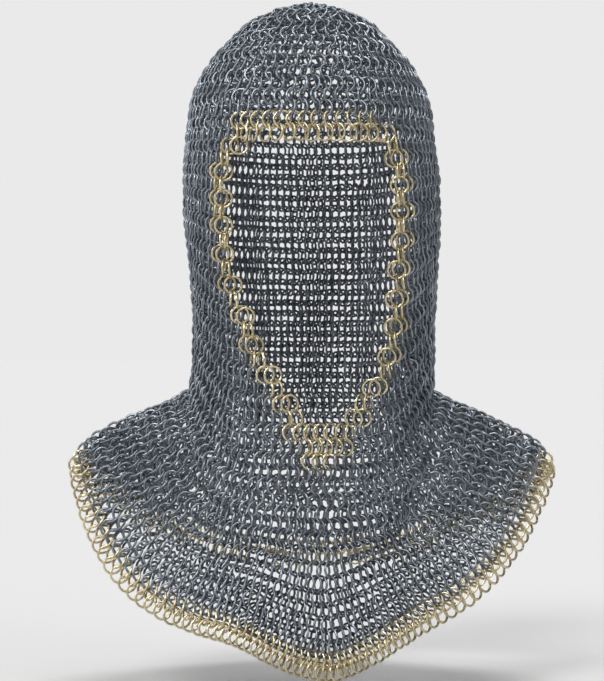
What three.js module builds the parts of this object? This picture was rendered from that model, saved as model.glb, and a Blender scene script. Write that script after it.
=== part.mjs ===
// A mail coif: a hood of linked rings with a V-shaped face opening and a round shoulder mantle.
// It keeps the hollow shape it has when it is worn, and its neck and hem are open.
// Millimetres, +Z up. The face opening looks along -Y. The origin is inside the crown's top.
// The mail is woven in rows: row 0 is the ring at the crown's top, and row 56 is the hem's last.
// A place on the mail is an angle, 0 at the front and growing towards +X, and a row.

import * as THREE from "three";

// Driving sizes
const WALL = 5; // the mail's thickness, from the outer side of its rings to the inner
const SEAM = 0.3; // the gap between neighbouring pieces
const ROW_PITCH = 6; // the least distance between two rows, at the shoulders
const EDGING_WIDTH = 12.5; // two columns of brass rings beside the face opening
const EDGING_ROWS = 2.2; // the same edging, counted in rows, below the V
const TIP_WIDTH = 2.5; // what is left of each edging below the V's point
const EDGING_TAPER_START = 37; // the row where the edging begins to narrow towards the point
const BROW_COLUMNS = 14;

// Rows where one piece ends and the next begins
const CROWN_TOP_END = 8;
const CROWN_BAND_END = 15.5;
const BROW_END = 17.7;
const HOOD_END = 42;
const THROAT_END = 48;
const MANTLE_END = 54.5;
const HEM_END = 57;

// Angles where one piece ends and the next begins, in degrees
const COLUMN_STEP = 6;
const FRONT_HALF = 36;
const CHEEK = 66;
const BACK_HALF = 132;
const CHEEK_COLUMNS = { left: 12, right: 10 }; // so that they meet the columns of the panels below

// The neck fold and the rows where the mantle's own shape begins and ends
const BROW_ROW = 17;
const CHIN_ROW = 30;
const NECK_ROW = 41;
const HEM_ROW = 56;
const HOOD_FLATNESS = 5; // the higher, the flatter a hood row hangs across the front
const HEM_ROUNDNESS = 0.6; // the lower, the rounder the hem's outline from the front
const SHOULDER_SOFTNESS = 0.04; // the higher, the more gently the hem turns over the shoulder
const RIDGE_SHARPNESS = 0.7; // the higher, the steeper the mantle falls from the shoulder's ridge
const RIDGE_SOFTNESS = 0.25; // the higher, the rounder the ridge
const RIDGE_ROW = 50; // the row where the ridge has its full shape
const HEM_POINT = { angle: 4, depth: 17, width: 17, softness: 3 }; // the drop at the front's middle

// The middle of the mail's thickness, as three outlines: its side, its front and its back
const PROFILE = table(
  ["row", "shiftX", "halfWidth", "sideZ", "frontY", "frontZ", "backY", "backZ"],
  [
    [0, 0, 0, 2.5, 0, 2.5, 0, 2.5],
    [2, 0, 15, -1.5, 17, -0.2, 17.5, 0.2],
    [4, -0.5, 29.5, -6.3, 34, -4, 34.8, -3.2],
    [6, -1, 42.7, -14.3, 49.5, -11.5, 51, -10],
    [8, -1.2, 53.8, -25, 63, -22, 65.5, -20],
    [10, -1.2, 63.9, -36.7, 74, -35.5, 78, -32.5],
    [12, -1, 72.2, -49.7, 83, -50.5, 87.5, -47],
    [14, -0.8, 77.6, -64, 89.5, -66, 94, -63.5],
    [17, -0.5, 80.5, -87, 94, -89.5, 98.5, -88.5],
    [20, 0, 82.7, -108.4, 95.5, -117.3, 99.5, -111],
    [23, 0.5, 83.2, -130, 96, -145, 99.3, -133.5],
    [26, 1.2, 82.4, -151.5, 95.5, -172.8, 98, -156],
    [29, 1.8, 80.4, -173, 94, -200.5, 96, -178.5],
    [32, 2, 78.8, -194.5, 92, -228.2, 93.5, -201],
    [35, 2, 77.9, -216, 89.5, -256, 91, -223],
    [38, 1.5, 78, -237.6, 87, -283.7, 89, -245],
    [40, 0.8, 79.2, -252, 86, -302, 88.5, -259.5],
    [41, 0, 80.5, -259, 86, -310.5, 89, -266.5],
    [42, 0, 86, -262.5, 86.6, -319, 91, -273.5],
    [44, 0, 97.5, -269.1, 88.5, -335.1, 95, -288],
    [47, 0, 115, -276.5, 92.4, -358.7, 101.5, -311],
    [50, 0, 132.5, -284.7, 96.6, -381.3, 108.5, -334.5],
    [53, 1, 149.5, -294.2, 101, -402.4, 115.5, -358],
    [56, 1.5, 160, -308, 105, -423, 121.5, -382],
    [58, 1.5, 163, -319, 107.5, -438, 125, -398],
  ],
);

// The free edges of the face opening, from the brow to the point of the V
const OPENING = table(
  ["row", "leftX", "rightX"],
  [
    [17.7, -40, 45],
    [18.6, -49, 49],
    [20, -54, 52],
    [22, -56.5, 53],
    [25.4, -52.5, 52.5],
    [27.7, -46.5, 51.5],
    [29.6, -41, 49],
    [31.6, -34, 45.5],
    [33.5, -25, 38.5],
    [34.8, -16.5, 31],
    [35.8, -10, 24.5],
    [36.6, -4.5, 20],
    [37.1, 1, 15.5],
    [37.5, 8, 8],
  ],
);

// The creases where the hanging front meets the mantle, from each side of the neck
const CREASE = table(
  ["row", "angle", "depth", "width"],
  [
    [40, 96, 0, 12],
    [41, 86, 1.5, 12],
    [42.5, 70, 4.5, 11],
    [44.5, 46, 6.5, 10],
    [46.5, 36, 5, 9],
    [48.5, 22, 2, 9],
    [50, 12, 0, 9],
  ],
);

// Soft folds in the mantle and the nape: troughs, or ridges where the depth is below zero
const FOLDS = table(
  ["angle", "middleRow", "halfRows", "depth", "width"],
  [
    [-62, 57, 12, -3, 16],
    [66, 57, 8, 1, 12],
    [-30, 57, 7, 1.6, 8],
    [27, 57, 6, 1.8, 7],
    [-112, 57, 10, 3, 10],
    [108, 56, 9, 3.4, 9],
    [146, 57, 12, 4, 9],
    [-151, 56, 10, 3.6, 10],
    [176, 57, 8, -3, 11],
    [-127, 40, 10, 3.2, 9],
    [131, 41, 12, 3, 8],
    [-52, 40, 9, 2, 7],
    [58, 39, 8, 2, 7],
  ],
);

// Where the hem hangs lower than an even curve, or higher where the depth is below zero
const SAGS = table(
  ["angle", "depth", "width"],
  [
    [-50, 12, 18],
    [-18, -5.5, 9],
    [62, 3.5, 20],
    [24, -4, 11],
  ],
);

// Finishes
const STEEL_MAIL = { color: 0x3c4247, roughness: 0.45, metalness: 0.9 };
const BRASS_MAIL = { color: 0xb39a5a, roughness: 0.4, metalness: 0.9 };

/** Rows of numbers as objects with named columns. */
function table(names, rows) {
  return rows.map((row) => Object.fromEntries(names.map((name, i) => [name, row[i]])));
}

/** A smooth curve through one column of a table against its rows, with no overshoot. */
function smoothColumn(rows, name) {
  const x = rows.map((entry) => entry.row);
  const y = rows.map((entry) => entry[name]);
  const secants = x.slice(1).map((end, i) => (y[i + 1] - y[i]) / (end - x[i]));
  const slopes = x.map((_, i) => {
    const before = secants[Math.max(i - 1, 0)];
    const after = secants[Math.min(i, secants.length - 1)];
    return before * after <= 0 ? 0 : (2 * before * after) / (before + after);
  });
  return (at) => {
    const place = THREE.MathUtils.clamp(at, x[0], x[x.length - 1]);
    const i = Math.max(x.findIndex((end) => end >= place) - 1, 0);
    const span = x[i + 1] - x[i];
    const t = (place - x[i]) / span;
    const rise = t * t * (3 - 2 * t);
    const lean = t * (1 - t) * ((1 - t) * slopes[i] - t * slopes[i + 1]) * span;
    return y[i] + (y[i + 1] - y[i]) * rise + lean;
  };
}

/** One smooth curve for each named column of a table. */
function smoothColumns(rows) {
  const names = Object.keys(rows[0]).filter((name) => name !== "row");
  return Object.fromEntries(names.map((name) => [name, smoothColumn(rows, name)]));
}

const profile = smoothColumns(PROFILE);
const opening = smoothColumns(OPENING);
const crease = smoothColumns(CREASE);
const { degToRad, lerp, smoothstep } = THREE.MathUtils;

/** The smallest turn between two angles in radians. */
function turnBetween(a, b) {
  return Math.abs(Math.atan2(Math.sin(a - b), Math.cos(a - b)));
}

/** A rounded bump that is 1 at 0 and fades out over about twice its width. */
function bump(distance, width) {
  return Math.exp(-((distance / width) ** 2));
}

/** How far a place is pushed in by the creases and folds. */
function foldDepth(angle, row) {
  const width = degToRad(crease.width(row));
  const line = degToRad(crease.angle(row));
  const neck = crease.depth(row) * bump(turnBetween(Math.abs(angle), line), width);
  const soft = FOLDS.map((fold) => {
    const along = bump(row - fold.middleRow, fold.halfRows / 2);
    return fold.depth * along * bump(turnBetween(angle, degToRad(fold.angle)), degToRad(fold.width));
  });
  return soft.reduce((sum, depth) => sum + depth, neck);
}

/** How much of its drop a row has made at an angle: 0 at the side, 1 at the front or the back. */
function dropShare(angle, row) {
  const side = Math.abs(Math.sin(angle));
  const end = Math.abs(Math.cos(angle));
  const hood = lerp(end ** 2, 1 - side ** HOOD_FLATNESS, smoothstep(row, BROW_ROW, CHIN_ROW));
  const rise = (square) => (square + SHOULDER_SOFTNESS) ** HEM_ROUNDNESS;
  const mantle = (rise(end ** 2) - rise(0)) / (rise(1) - rise(0));
  return lerp(hood, mantle, smoothstep(row, NECK_ROW, HEM_ROW));
}

/** How far a row reaches forward at an angle, as a share of its reach at the front or the back. */
function reachShare(angle, row) {
  const end = Math.cos(angle);
  const steep = (Math.hypot(end, RIDGE_SOFTNESS) / Math.hypot(1, RIDGE_SOFTNESS)) ** RIDGE_SHARPNESS;
  return end * lerp(1, steep, smoothstep(row, NECK_ROW, RIDGE_ROW));
}

/** How far the hem hangs below an even curve at an angle. */
function hemSag(angle) {
  const turn = turnBetween(angle, degToRad(HEM_POINT.angle));
  const away = Math.hypot(turn, degToRad(HEM_POINT.softness)) / degToRad(HEM_POINT.width);
  const sags = SAGS.map((sag) => (
    sag.depth * bump(turnBetween(angle, degToRad(sag.angle)), degToRad(sag.width))
  ));
  return sags.reduce((sum, depth) => sum + depth, HEM_POINT.depth * Math.exp(-away));
}

/** A point in the middle of the mail's thickness. */
function middle(angle, row) {
  const front = Math.cos(angle) > 0;
  const endZ = front ? profile.frontZ(row) : profile.backZ(row);
  const endY = front ? profile.frontY(row) : profile.backY(row);
  const sideZ = profile.sideZ(row);
  const x = profile.halfWidth(row) * Math.sin(angle);
  const y = -endY * reachShare(angle, row);
  const reach = Math.max(Math.hypot(x, y), 1);
  const inward = 1 - foldDepth(angle, row) / reach;
  const drop = hemSag(angle) * smoothstep(row, NECK_ROW, HEM_ROW);
  return new THREE.Vector3(
    profile.shiftX(row) + x * inward,
    y * inward,
    lerp(sideZ, endZ, dropShare(angle, row)) - drop,
  );
}

/** The directions along a row and down a column at a place, each for one unit of its own. */
function directions(angle, row) {
  const nearby = 0.01;
  const alongRow = middle(angle + nearby, row).sub(middle(angle - nearby, row));
  const downColumn = middle(angle, row + nearby).sub(middle(angle, row - nearby));
  return {
    alongRow: alongRow.divideScalar(2 * nearby),
    downColumn: downColumn.divideScalar(2 * nearby),
  };
}

/** A point on the mail, moved outwards from its middle. */
function skin(angle, row, outward) {
  if (row === 0) return new THREE.Vector3(0, 0, profile.sideZ(0) + outward);
  const { alongRow, downColumn } = directions(angle, row);
  const normal = downColumn.cross(alongRow).normalize();
  return middle(angle, row).addScaledVector(normal, outward);
}

/** The angle that a length along a row takes up. */
function angleOf(length, angle, row) {
  return length / directions(angle, row).alongRow.length();
}

/** Evenly spaced angles, in degrees turned to radians. */
function evenAngles(from, to) {
  const count = Math.round((to - from) / COLUMN_STEP);
  return Array.from({ length: count + 1 }, (_, i) => degToRad(lerp(from, to, i / count)));
}

/** The angle of a place on the front, from its X. */
function frontAngle(x, row) {
  return Math.asin((x - profile.shiftX(row)) / profile.halfWidth(row));
}

/** The angles of one side's free edge and of the far edge of its brass edging. */
function edgingAngles(side, row) {
  const edgeX = side < 0 ? opening.leftX : opening.rightX;
  const inner = edgeX(row);
  const reach = Math.max(EDGING_WIDTH, side * (edgeX(row - EDGING_ROWS) - inner));
  const taper = smoothstep(row, EDGING_TAPER_START, HOOD_END);
  const past = Math.max(side * (edgeX(row - EDGING_ROWS) - inner), TIP_WIDTH);
  const outer = inner + side * lerp(reach, past, taper);
  return [frontAngle(inner, row), frontAngle(outer, row)];
}

/** The angles across one brass edging at a row, from left to right. */
function edgingColumns(side, row) {
  const [inner, outer] = edgingAngles(side, row);
  return [inner, (inner + outer) / 2, outer].sort((a, b) => a - b);
}

/** The angles across one side of the hood at a row, from left to right. */
function hoodColumns(side, row) {
  const [, start] = edgingAngles(side, Math.max(row, BROW_END));
  const cheek = side * degToRad(CHEEK);
  const count = side < 0 ? CHEEK_COLUMNS.left : CHEEK_COLUMNS.right;
  const front = Array.from({ length: count }, (_, i) => lerp(start, cheek, i / count));
  const rest = evenAngles(CHEEK, BACK_HALF).map((angle) => side * angle);
  return [...front, ...rest].sort((a, b) => a - b);
}

/**
 * A closed wall over part of the mail.
 * rows lists its rows from top to bottom, and columnsAt gives the angles across it at a row.
 * It goes all round where allRound is true, and is closed at the crown where it starts at row 0.
 */
function wallGeometry(rows, columnsAt, allRound) {
  const capped = rows[0] === 0;
  const inset = rows.map((row, i) => {
    const halfSeam = SEAM / 2 / ROW_PITCH;
    if (i === rows.length - 1) return row === HEM_END ? row : row - halfSeam;
    return i === 0 && !capped ? row + halfSeam : row;
  });
  const positions = [];
  const indices = [];
  const rings = inset.map((row) => {
    const angles = columnsAt(row);
    const last = angles.length - 1;
    if (!allRound) {
      angles[0] += angleOf(SEAM / 2, angles[0], Math.max(row, 1));
      angles[last] -= angleOf(SEAM / 2, angles[last], Math.max(row, 1));
    }
    return allRound ? angles.slice(0, last) : angles;
  });
  const width = rings[0].length;

  const layers = [1, -1].map((side) => inset.map((row, r) => rings[r].map((angle, c) => {
    if (row === 0 && c > 0) return positions.length / 3 - 1;
    positions.push(...skin(angle, row, (side * WALL) / 2).toArray());
    return positions.length / 3 - 1;
  })));
  const [outer, inner] = layers;
  const at = (layer, r, c) => layer[r][c % width];

  const quad = (a, b, c, d) => {
    for (const corners of [[a, b, c], [a, c, d]]) {
      if (new Set(corners).size === 3) indices.push(...corners);
    }
  };
  const columns = allRound ? width : width - 1;
  const bottom = inset.length - 1;
  for (let c = 0; c < columns; c += 1) {
    for (let r = 0; r < bottom; r += 1) {
      quad(at(outer, r, c), at(outer, r + 1, c), at(outer, r + 1, c + 1), at(outer, r, c + 1));
      quad(at(inner, r, c), at(inner, r, c + 1), at(inner, r + 1, c + 1), at(inner, r + 1, c));
    }
    if (!capped) quad(at(outer, 0, c + 1), at(inner, 0, c + 1), at(inner, 0, c), at(outer, 0, c));
    quad(at(outer, bottom, c + 1), at(outer, bottom, c), at(inner, bottom, c), at(inner, bottom, c + 1));
  }
  for (let r = 0; r < bottom && !allRound; r += 1) {
    const end = width - 1;
    quad(at(outer, r + 1, 0), at(outer, r, 0), at(inner, r, 0), at(inner, r + 1, 0));
    quad(at(outer, r + 1, end), at(inner, r + 1, end), at(inner, r, end), at(outer, r, end));
  }

  const geometry = new THREE.BufferGeometry();
  geometry.setAttribute("position", new THREE.Float32BufferAttribute(positions, 3));
  geometry.setIndex(indices);
  geometry.computeVertexNormals();
  return geometry;
}

/** A named piece of the coif. */
function piece(name, finish, rows, columnsAt, allRound = false) {
  const mesh = new THREE.Mesh(
    wallGeometry(rows, columnsAt, allRound),
    new THREE.MeshStandardMaterial(finish),
  );
  mesh.name = name;
  return mesh;
}

/** A piece between two fixed angles, in degrees. */
function panel(name, finish, rows, from, to) {
  return piece(name, finish, rows, () => evenAngles(from, to));
}

// Rows of the wall's facets in each zone, closer where the mail bends
const CROWN_TOP_ROWS = [0, 1, 2.5, 4, 6, CROWN_TOP_END];
const CROWN_BAND_ROWS = [CROWN_TOP_END, 10, 12, 14, CROWN_BAND_END];
const BROW_ROWS = [CROWN_BAND_END, BROW_END];
const SIDE_ROWS = [18.6, 20, 22, 24, 26, 28, 30, 32, 33.5, 35, 36, 36.8, 37.5, 38.5, 39.7, 41];
const EDGING_ROW_LIST = [BROW_END, ...SIDE_ROWS, HOOD_END];
const THROAT_ROWS = [HOOD_END, 43, 44, 45, 46, 47, THROAT_END];
const FRONT_ROWS = [THROAT_END, 49.5, 51, 52.75, MANTLE_END];
const HEM_ROWS = [MANTLE_END, 55.75, HEM_END];

/** The round top and the widening band below it. */
function crown() {
  const round = () => evenAngles(-180, 180);
  return [
    piece("crown_top", STEEL_MAIL, CROWN_TOP_ROWS, round, true),
    piece("crown_band", STEEL_MAIL, CROWN_BAND_ROWS, round, true),
  ];
}

/** The hood's two sides and its back. */
function hood() {
  const rows = [CROWN_BAND_END, ...EDGING_ROW_LIST];
  return [
    piece("hood_left", STEEL_MAIL, rows, (row) => hoodColumns(-1, row)),
    piece("hood_right", STEEL_MAIL, rows, (row) => hoodColumns(1, row)),
    panel("hood_back", STEEL_MAIL, rows, BACK_HALF, 360 - BACK_HALF),
  ];
}

/** The brass edging round the face opening. */
function faceEdging() {
  const browColumns = () => {
    const left = edgingAngles(-1, BROW_END)[1];
    const right = edgingAngles(1, BROW_END)[1];
    return Array.from({ length: BROW_COLUMNS + 1 }, (_, i) => lerp(left, right, i / BROW_COLUMNS));
  };
  return [
    piece("edge_forehead", BRASS_MAIL, BROW_ROWS, browColumns),
    piece("edge_face_left", BRASS_MAIL, EDGING_ROW_LIST, (row) => edgingColumns(-1, row)),
    piece("edge_face_right", BRASS_MAIL, EDGING_ROW_LIST, (row) => edgingColumns(1, row)),
  ];
}

/** The throat panel and the four panels of the shoulder mantle. */
function mantle() {
  const rows = [...THROAT_ROWS, ...FRONT_ROWS.slice(1)];
  return [
    panel("throat_panel", STEEL_MAIL, THROAT_ROWS, -FRONT_HALF, FRONT_HALF),
    panel("mantle_front", STEEL_MAIL, FRONT_ROWS, -FRONT_HALF, FRONT_HALF),
    panel("mantle_left", STEEL_MAIL, rows, -BACK_HALF, -FRONT_HALF),
    panel("mantle_right", STEEL_MAIL, rows, FRONT_HALF, BACK_HALF),
    panel("mantle_back", STEEL_MAIL, rows, BACK_HALF, 360 - BACK_HALF),
  ];
}

/** The brass rows round the hem. */
function hem() {
  return [
    panel("hem_front", BRASS_MAIL, HEM_ROWS, -FRONT_HALF, FRONT_HALF),
    panel("hem_left", BRASS_MAIL, HEM_ROWS, -BACK_HALF, -FRONT_HALF),
    panel("hem_right", BRASS_MAIL, HEM_ROWS, FRONT_HALF, BACK_HALF),
    panel("hem_back", BRASS_MAIL, HEM_ROWS, BACK_HALF, 360 - BACK_HALF),
  ];
}

const coif = new THREE.Group();
coif.add(...crown(), ...hood(), ...faceEdging(), ...mantle(), ...hem());

export default coif;
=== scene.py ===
"""The looks of a mail coif: linked steel rings, with brass rings round the face and the hem."""

import logging
import math
from abc import ABC, abstractmethod
from collections.abc import Sequence
from dataclasses import dataclass, field
from enum import Enum

import bpy
import numpy as np
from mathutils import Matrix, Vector


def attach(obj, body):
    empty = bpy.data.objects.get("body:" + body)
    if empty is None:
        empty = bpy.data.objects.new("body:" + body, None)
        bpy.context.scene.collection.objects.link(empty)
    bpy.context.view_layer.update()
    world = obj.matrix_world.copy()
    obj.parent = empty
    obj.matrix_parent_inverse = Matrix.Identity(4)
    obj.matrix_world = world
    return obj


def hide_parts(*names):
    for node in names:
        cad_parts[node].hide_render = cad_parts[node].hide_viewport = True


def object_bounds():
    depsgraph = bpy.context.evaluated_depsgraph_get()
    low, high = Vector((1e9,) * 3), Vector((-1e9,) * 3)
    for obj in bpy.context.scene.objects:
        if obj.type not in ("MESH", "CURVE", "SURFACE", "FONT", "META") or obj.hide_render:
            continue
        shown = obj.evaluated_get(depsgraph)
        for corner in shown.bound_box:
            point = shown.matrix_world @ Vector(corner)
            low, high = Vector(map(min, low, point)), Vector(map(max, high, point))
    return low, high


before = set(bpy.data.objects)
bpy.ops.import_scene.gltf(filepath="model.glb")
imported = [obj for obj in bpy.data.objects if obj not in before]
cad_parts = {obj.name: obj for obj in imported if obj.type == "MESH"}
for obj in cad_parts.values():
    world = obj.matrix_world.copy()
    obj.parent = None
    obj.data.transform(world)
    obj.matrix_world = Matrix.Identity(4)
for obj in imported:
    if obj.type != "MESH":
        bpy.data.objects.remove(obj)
CAD_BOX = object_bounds()

LOG = logging.getLogger("coif")
MM = 0.001
FULL_TURN = 2 * math.pi

# What the point of each ring carries
RING_AXIS = "ring_axis"
RING_UP = "ring_up"
RING_TONE = "ring_tone"

# The rows where the hood, the mantle and the hem start
HOOD_START = 15.5
MANTLE_START = 42
HEM_START = 55

# How far round from the front the front panels end and the back ones start, in degrees
FRONT_HALF = 36
BACK_HALF = 132

Colour = tuple[float, float, float]
Place = tuple[float, float, float]


class Metal(Enum):
    """The two metals, with the names of their materials."""

    STEEL = "steel_mail"
    BRASS = "brass_mail"


class Side(Enum):
    """The side of the face that a panel is on."""

    LEFT = -1
    BOTH = 0
    RIGHT = 1


# The mail's form, in millimetres, in the same words and numbers as the part's solids


def smoothstep(at: np.ndarray, low: float, high: float) -> np.ndarray:
    """A soft step from 0 at low to 1 at high."""
    t = np.clip((at - low) / (high - low), 0, 1)
    return t * t * (3 - 2 * t)


def bump(distance: np.ndarray, width: np.ndarray) -> np.ndarray:
    """A rounded bump that is 1 at 0 and fades out over about twice its width."""
    return np.exp(-((distance / width) ** 2))


def turn_between(a: np.ndarray, b: np.ndarray) -> np.ndarray:
    """The smallest turn between two angles in radians."""
    return np.abs(np.arctan2(np.sin(a - b), np.cos(a - b)))


def unit(vectors: np.ndarray) -> np.ndarray:
    """Vectors made one long."""
    return vectors / np.maximum(np.linalg.norm(vectors, axis=-1, keepdims=True), 1e-9)


class Curves:
    """Smooth curves through a table's columns against its first one, with no overshoot."""

    def __init__(self, names: Sequence[str], rows: Sequence[Sequence[float]]) -> None:
        """Works out the slopes.

        Args:
            names: The table's column names, the first being the place along it.
            rows: Its rows of numbers.
        """
        numbers = np.array(rows, dtype=float)
        self.at = numbers[:, 0]
        self.values = dict(zip(names[1:], numbers[:, 1:].T))
        self.slopes = {name: self._slopes(column) for name, column in self.values.items()}

    def _slopes(self, column: np.ndarray) -> np.ndarray:
        """Works out a curve's slopes.

        Args:
            column: The curve's values.

        Returns:
            Its slope at each row of the table.
        """
        secants = np.diff(column) / np.diff(self.at)
        before = np.concatenate([secants[:1], secants])
        after = np.concatenate([secants, secants[-1:]])
        product = before * after
        total = np.where(product > 0, before + after, 1)
        return np.where(product > 0, 2 * product / total, 0)

    def read(self, name: str, place: np.ndarray) -> np.ndarray:
        """Reads one column's curve.

        Args:
            name: The column.
            place: Places along the table.

        Returns:
            The curve's value at each place.
        """
        column, slopes = self.values[name], self.slopes[name]
        place = np.clip(np.asarray(place, dtype=float), self.at[0], self.at[-1])
        i = np.clip(np.searchsorted(self.at, place) - 1, 0, len(self.at) - 2)
        span = self.at[i + 1] - self.at[i]
        t = (place - self.at[i]) / span
        lean = t * (1 - t) * ((1 - t) * slopes[i] - t * slopes[i + 1]) * span
        return column[i] + (column[i + 1] - column[i]) * t * t * (3 - 2 * t) + lean


@dataclass
class Drape:
    """The form that the mail hangs in.

    A place on it is an angle in radians, 0 at the front and growing towards +X, and a row.
    """

    brow_row: float = 17
    chin_row: float = 30
    neck_row: float = 41
    hem_row: float = 56
    # How far round the hood's rows stay level, and how the mantle's rise to the shoulder
    hood_flatness: float = 5
    hem_roundness: float = 0.6
    shoulder_softness: float = 0.04
    # How sharp the mantle's ridge over each shoulder is, and the row where it is fully formed
    ridge_sharpness: float = 0.7
    ridge_softness: float = 0.25
    ridge_row: float = 50
    # The point at the front of the hem, with its angles in degrees
    point_angle: float = 4
    point_depth: float = 17
    point_width: float = 17
    point_softness: float = 3
    # The row nearest to the top where directions are still measured
    first_measured: float = 0.5
    profile: Curves = field(default_factory=lambda: Curves(
        ("row", "shiftX", "halfWidth", "sideZ", "frontY", "frontZ", "backY", "backZ"),
        (
            (0, 0, 0, 2.5, 0, 2.5, 0, 2.5),
            (2, 0, 15, -1.5, 17, -0.2, 17.5, 0.2),
            (4, -0.5, 29.5, -6.3, 34, -4, 34.8, -3.2),
            (6, -1, 42.7, -14.3, 49.5, -11.5, 51, -10),
            (8, -1.2, 53.8, -25, 63, -22, 65.5, -20),
            (10, -1.2, 63.9, -36.7, 74, -35.5, 78, -32.5),
            (12, -1, 72.2, -49.7, 83, -50.5, 87.5, -47),
            (14, -0.8, 77.6, -64, 89.5, -66, 94, -63.5),
            (17, -0.5, 80.5, -87, 94, -89.5, 98.5, -88.5),
            (20, 0, 82.7, -108.4, 95.5, -117.3, 99.5, -111),
            (23, 0.5, 83.2, -130, 96, -145, 99.3, -133.5),
            (26, 1.2, 82.4, -151.5, 95.5, -172.8, 98, -156),
            (29, 1.8, 80.4, -173, 94, -200.5, 96, -178.5),
            (32, 2, 78.8, -194.5, 92, -228.2, 93.5, -201),
            (35, 2, 77.9, -216, 89.5, -256, 91, -223),
            (38, 1.5, 78, -237.6, 87, -283.7, 89, -245),
            (40, 0.8, 79.2, -252, 86, -302, 88.5, -259.5),
            (41, 0, 80.5, -259, 86, -310.5, 89, -266.5),
            (42, 0, 86, -262.5, 86.6, -319, 91, -273.5),
            (44, 0, 97.5, -269.1, 88.5, -335.1, 95, -288),
            (47, 0, 115, -276.5, 92.4, -358.7, 101.5, -311),
            (50, 0, 132.5, -284.7, 96.6, -381.3, 108.5, -334.5),
            (53, 1, 149.5, -294.2, 101, -402.4, 115.5, -358),
            (56, 1.5, 160, -308, 105, -423, 121.5, -382),
            (58, 1.5, 163, -319, 107.5, -438, 125, -398),
        ),
    ))
    # The crease between the hanging front and each shoulder, with its angles in degrees
    crease: Curves = field(default_factory=lambda: Curves(
        ("row", "angle", "depth", "width"),
        (
            (40, 96, 0, 12),
            (41, 86, 1.5, 12),
            (42.5, 70, 4.5, 11),
            (44.5, 46, 6.5, 10),
            (46.5, 36, 5, 9),
            (48.5, 22, 2, 9),
            (50, 12, 0, 9),
        ),
    ))
    # Angle, middle row, half rows, depth and width of each soft fold
    folds: tuple[tuple[float, ...], ...] = (
        (-62, 57, 12, -3, 16),
        (66, 57, 8, 1, 12),
        (-30, 57, 7, 1.6, 8),
        (27, 57, 6, 1.8, 7),
        (-112, 57, 10, 3, 10),
        (108, 56, 9, 3.4, 9),
        (146, 57, 12, 4, 9),
        (-151, 56, 10, 3.6, 10),
        (176, 57, 8, -3, 11),
        (-127, 40, 10, 3.2, 9),
        (131, 41, 12, 3, 8),
        (-52, 40, 9, 2, 7),
        (58, 39, 8, 2, 7),
    )
    # Angle, depth and width of each place where the hem hangs lower than an even curve
    sags: tuple[tuple[float, ...], ...] = (
        (-50, 12, 18),
        (-18, -5.5, 9),
        (62, 3.5, 20),
        (24, -4, 11),
    )

    def fold_depth(self, angle: np.ndarray, row: np.ndarray) -> np.ndarray:
        """How far places are pushed in by the creases and folds.

        Args:
            angle: Angles in radians.
            row: Rows, as many as the angles.

        Returns:
            One depth in millimetres for each.
        """
        line = np.radians(self.crease.read("angle", row))
        width = np.radians(self.crease.read("width", row))
        depth = self.crease.read("depth", row) * bump(turn_between(np.abs(angle), line), width)
        for place, middle_row, half_rows, most, spread in self.folds:
            along = bump(row - middle_row, half_rows / 2)
            across = bump(turn_between(angle, math.radians(place)), math.radians(spread))
            depth = depth + most * along * across
        return depth

    def drop_share(self, angle: np.ndarray, row: np.ndarray) -> np.ndarray:
        """How much of its drop from the side to the front or the back a row has made.

        Args:
            angle: Angles in radians.
            row: Rows, as many as the angles.

        Returns:
            A share for each, 0 at the side and 1 at the front and the back.
        """
        side, end = np.abs(np.sin(angle)), np.abs(np.cos(angle))
        flat = 1 - side**self.hood_flatness
        hood = end**2 + (flat - end**2) * smoothstep(row, self.brow_row, self.chin_row)
        low = self.shoulder_softness**self.hem_roundness
        high = (1 + self.shoulder_softness) ** self.hem_roundness
        mantle = ((end**2 + self.shoulder_softness) ** self.hem_roundness - low) / (high - low)
        return hood + (mantle - hood) * smoothstep(row, self.neck_row, self.hem_row)

    def reach_share(self, angle: np.ndarray, row: np.ndarray) -> np.ndarray:
        """How far a row reaches forward.

        Args:
            angle: Angles in radians.
            row: Rows, as many as the angles.

        Returns:
            A share of the reach at the front for each, or less than 0 towards the back.
        """
        end = np.cos(angle)
        steep = np.hypot(end, self.ridge_softness) / math.hypot(1, self.ridge_softness)
        shaped = smoothstep(row, self.neck_row, self.ridge_row)
        return end * (1 + (steep**self.ridge_sharpness - 1) * shaped)

    def hem_sag(self, angle: np.ndarray) -> np.ndarray:
        """How far the hem hangs below an even curve.

        Args:
            angle: Angles in radians.

        Returns:
            One sag in millimetres for each.
        """
        turn = turn_between(angle, math.radians(self.point_angle))
        away = np.hypot(turn, math.radians(self.point_softness)) / math.radians(self.point_width)
        sag = self.point_depth * np.exp(-away)
        for place, depth, spread in self.sags:
            across = bump(turn_between(angle, math.radians(place)), math.radians(spread))
            sag = sag + depth * across
        return sag

    def middle(self, angle: np.ndarray, row: np.ndarray) -> np.ndarray:
        """Points in the middle of the mail's thickness.

        Args:
            angle: Angles in radians.
            row: Rows, as many as the angles.

        Returns:
            One point in millimetres for each.
        """
        angle, row = np.broadcast_arrays(np.asarray(angle, float), np.asarray(row, float))
        front = np.cos(angle) > 0
        read = self.profile.read
        end_y = np.where(front, read("frontY", row), read("backY", row))
        end_z = np.where(front, read("frontZ", row), read("backZ", row))
        x = read("halfWidth", row) * np.sin(angle)
        y = -end_y * self.reach_share(angle, row)
        inward = 1 - self.fold_depth(angle, row) / np.maximum(np.hypot(x, y), 1)
        drop = self.hem_sag(angle) * smoothstep(row, self.neck_row, self.hem_row)
        side_z = read("sideZ", row)
        z = side_z + (end_z - side_z) * self.drop_share(angle, row) - drop
        return np.stack([read("shiftX", row) + x * inward, y * inward, z], axis=-1)

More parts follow.
